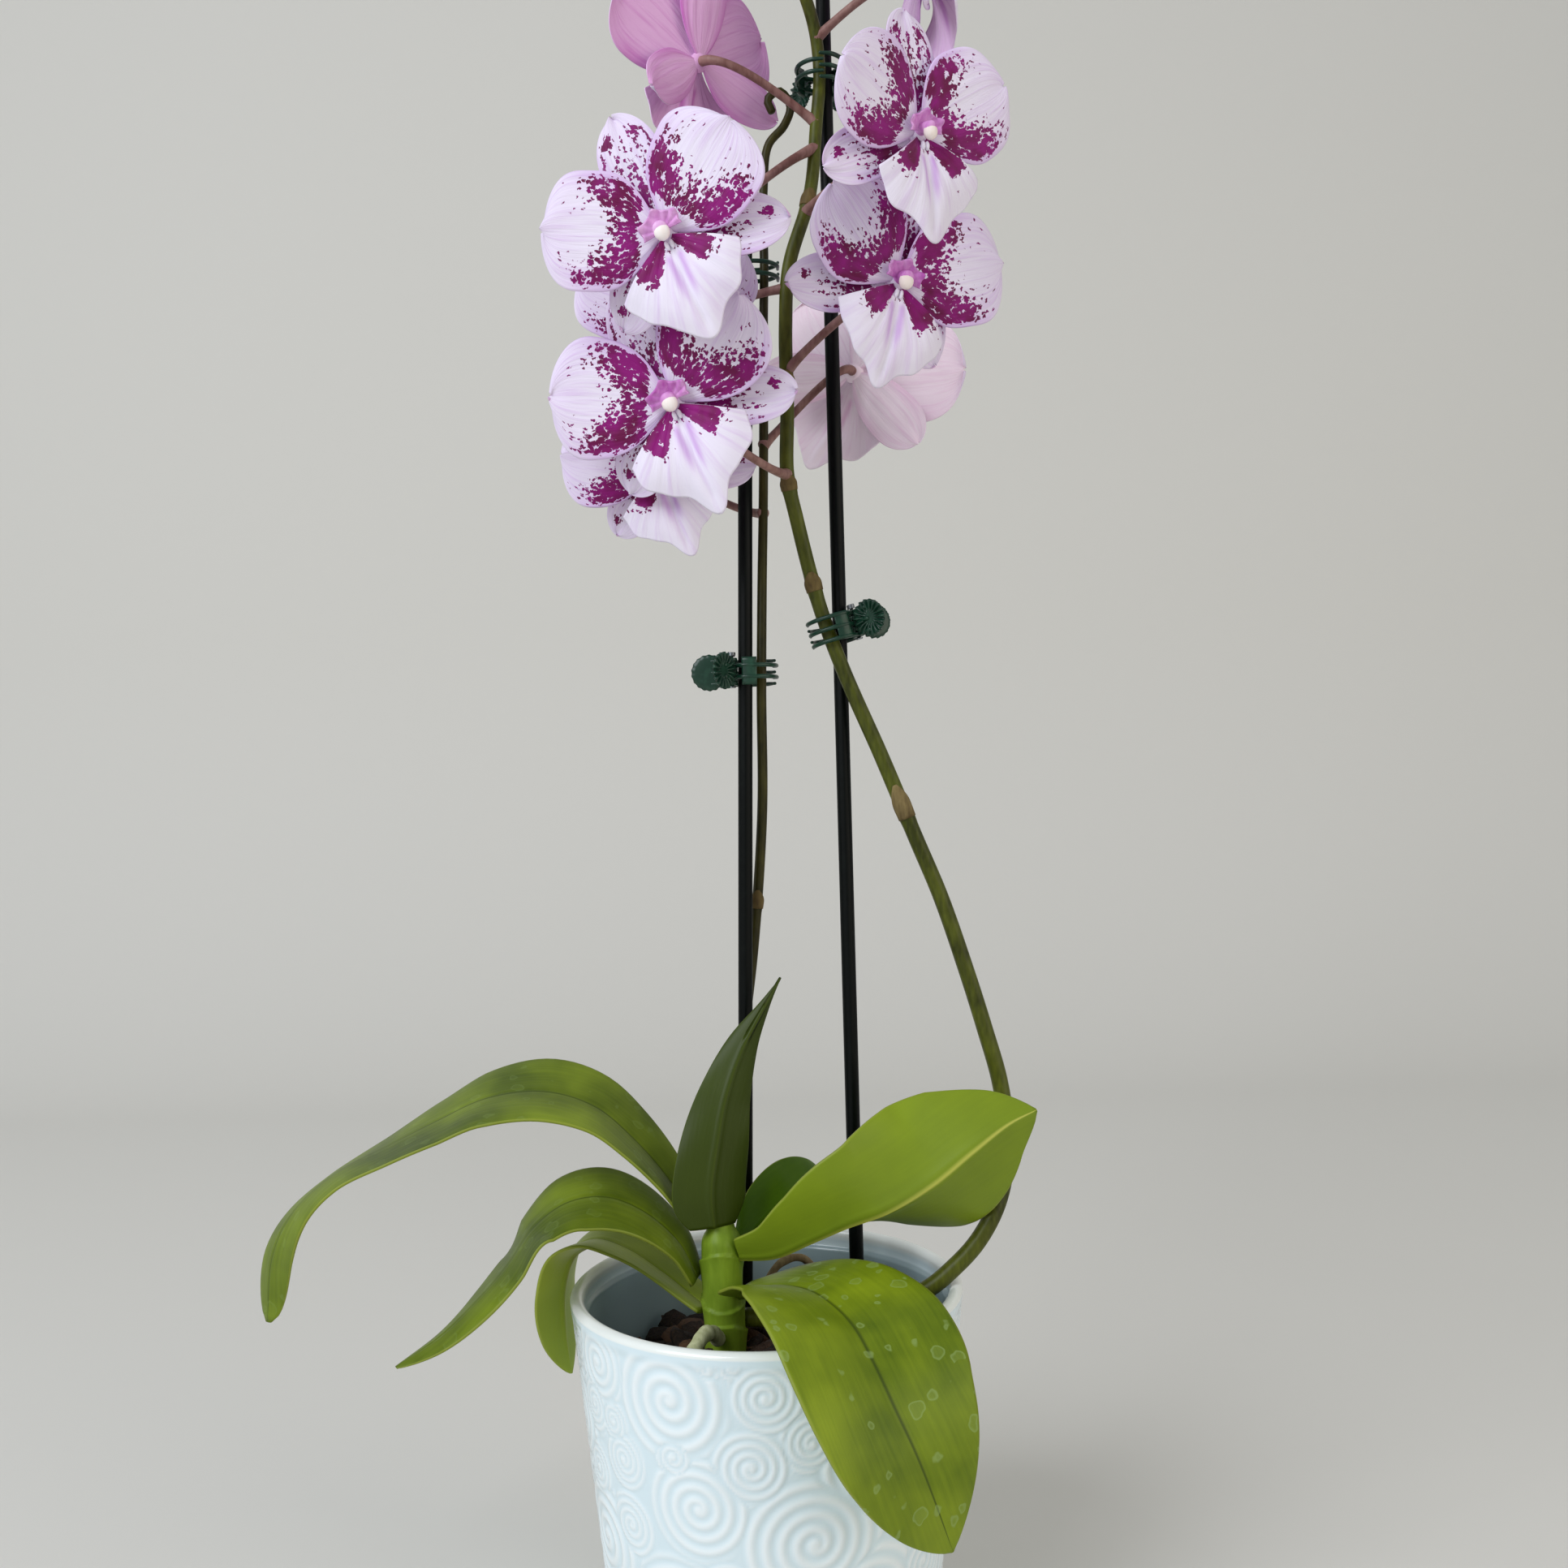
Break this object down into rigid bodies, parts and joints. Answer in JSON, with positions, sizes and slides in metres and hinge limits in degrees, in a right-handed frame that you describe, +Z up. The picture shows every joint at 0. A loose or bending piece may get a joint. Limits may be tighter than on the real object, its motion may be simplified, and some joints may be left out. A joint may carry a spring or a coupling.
{
  "type": "potted moth orchid",
  "caption": "Moth orchid with spotted blooms on two staked flower spikes, thick arching leaves and sprung claw clips, in a white cachepot with raised spirals.",
  "frame": {"origin": "centre of the pot's base", "axes": "+Z up along the plant; -Y towards the side that the blooms face; +X to the right seen from there"},
  "size_m": [0.2704, 0.1725, 0.6542],
  "materials": {
    "ceramic": "glossy white glaze with a cool cast",
    "bark": "dark rough chips",
    "leaf": "satin green",
    "stem": "matt olive",
    "spike": "satin olive",
    "root": "matt grey green",
    "stake": "dark green coating",
    "clip": "dark green, ribbed",
    "wire": "bright wire",
    "petal": "satin pale lilac with magenta spots",
    "lip": "white with magenta patches",
    "column": "pinkish white"
  },
  "bodies": {
    "plant": {"pot": "ceramic", "bark_medium": "bark", "crown_stem": "stem", "root_front": "root", "root_loop": "root", "stake_left": "stake", "stake_right": "stake", "spike_1": "spike", "spike_2": "spike", "leaf_upper_left": "leaf", "leaf_lower_left": "leaf", "leaf_over_rim": "leaf", "leaf_upright": "leaf", "leaf_back_right": "leaf", "leaf_big_right": "leaf", "leaf_front": "leaf", "bloom_a": "petal", "bloom_a_lip": "lip", "bloom_a_column": "column", "bloom_b": "petal", "bloom_b_lip": "lip", "bloom_b_column": "column", "bloom_c": "petal", "bloom_c_lip": "lip", "bloom_c_column": "column", "bloom_d": "petal", "bloom_d_lip": "lip", "bloom_d_column": "column", "bloom_e": "petal", "bloom_e_lip": "lip", "bloom_e_column": "column", "bloom_f": "petal", "bloom_f_lip": "lip", "bloom_f_column": "column", "bloom_g": "petal", "bloom_g_lip": "lip", "bloom_g_column": "column", "bloom_h": "petal", "bloom_h_lip": "lip", "bloom_h_column": "column", "bloom_i": "petal", "bloom_i_lip": "lip", "bloom_i_column": "column", "clip_1_jaw_b": "clip", "clip_1_pin": "wire", "clip_2_jaw_b": "clip", "clip_2_pin": "wire", "clip_3_jaw_b": "clip", "clip_3_pin": "wire", "clip_4_jaw_b": "clip", "clip_4_pin": "wire"},
    "clip_1_jaw": {"clip_1_jaw_a": "clip"},
    "clip_2_jaw": {"clip_2_jaw_a": "clip"},
    "clip_3_jaw": {"clip_3_jaw_a": "clip"},
    "clip_4_jaw": {"clip_4_jaw_a": "clip"}
  },
  "joints": [
    {"name": "clip_1_hinge", "type": "hinge", "parent": "plant", "child": "clip_1_jaw", "pos_m": [-0.00655, 0.0098, 0.349], "axis": [0, 0, 1], "range_deg": [0, 22], "stiffness_Nm_per_rad": 0.01, "springref_deg": -5.16},
    {"name": "clip_2_hinge", "type": "hinge", "parent": "plant", "child": "clip_2_jaw", "pos_m": [0.03885, 0.0118, 0.3654], "axis": [-0.2382, 0.042, 0.9703], "range_deg": [0, 22], "stiffness_Nm_per_rad": 0.01, "springref_deg": -5.16},
    {"name": "clip_3_hinge", "type": "hinge", "parent": "plant", "child": "clip_3_jaw", "pos_m": [0.0312, 0.0204, 0.565], "axis": [0, 0, 1], "range_deg": [0, 22], "stiffness_Nm_per_rad": 0.01, "springref_deg": -5.16},
    {"name": "clip_4_hinge", "type": "hinge", "parent": "plant", "child": "clip_4_jaw", "pos_m": [-0.00285, 0.0122, 0.494], "axis": [0, 0, 1], "range_deg": [0, 22], "stiffness_Nm_per_rad": 0.01, "springref_deg": -5.16}
  ]
}
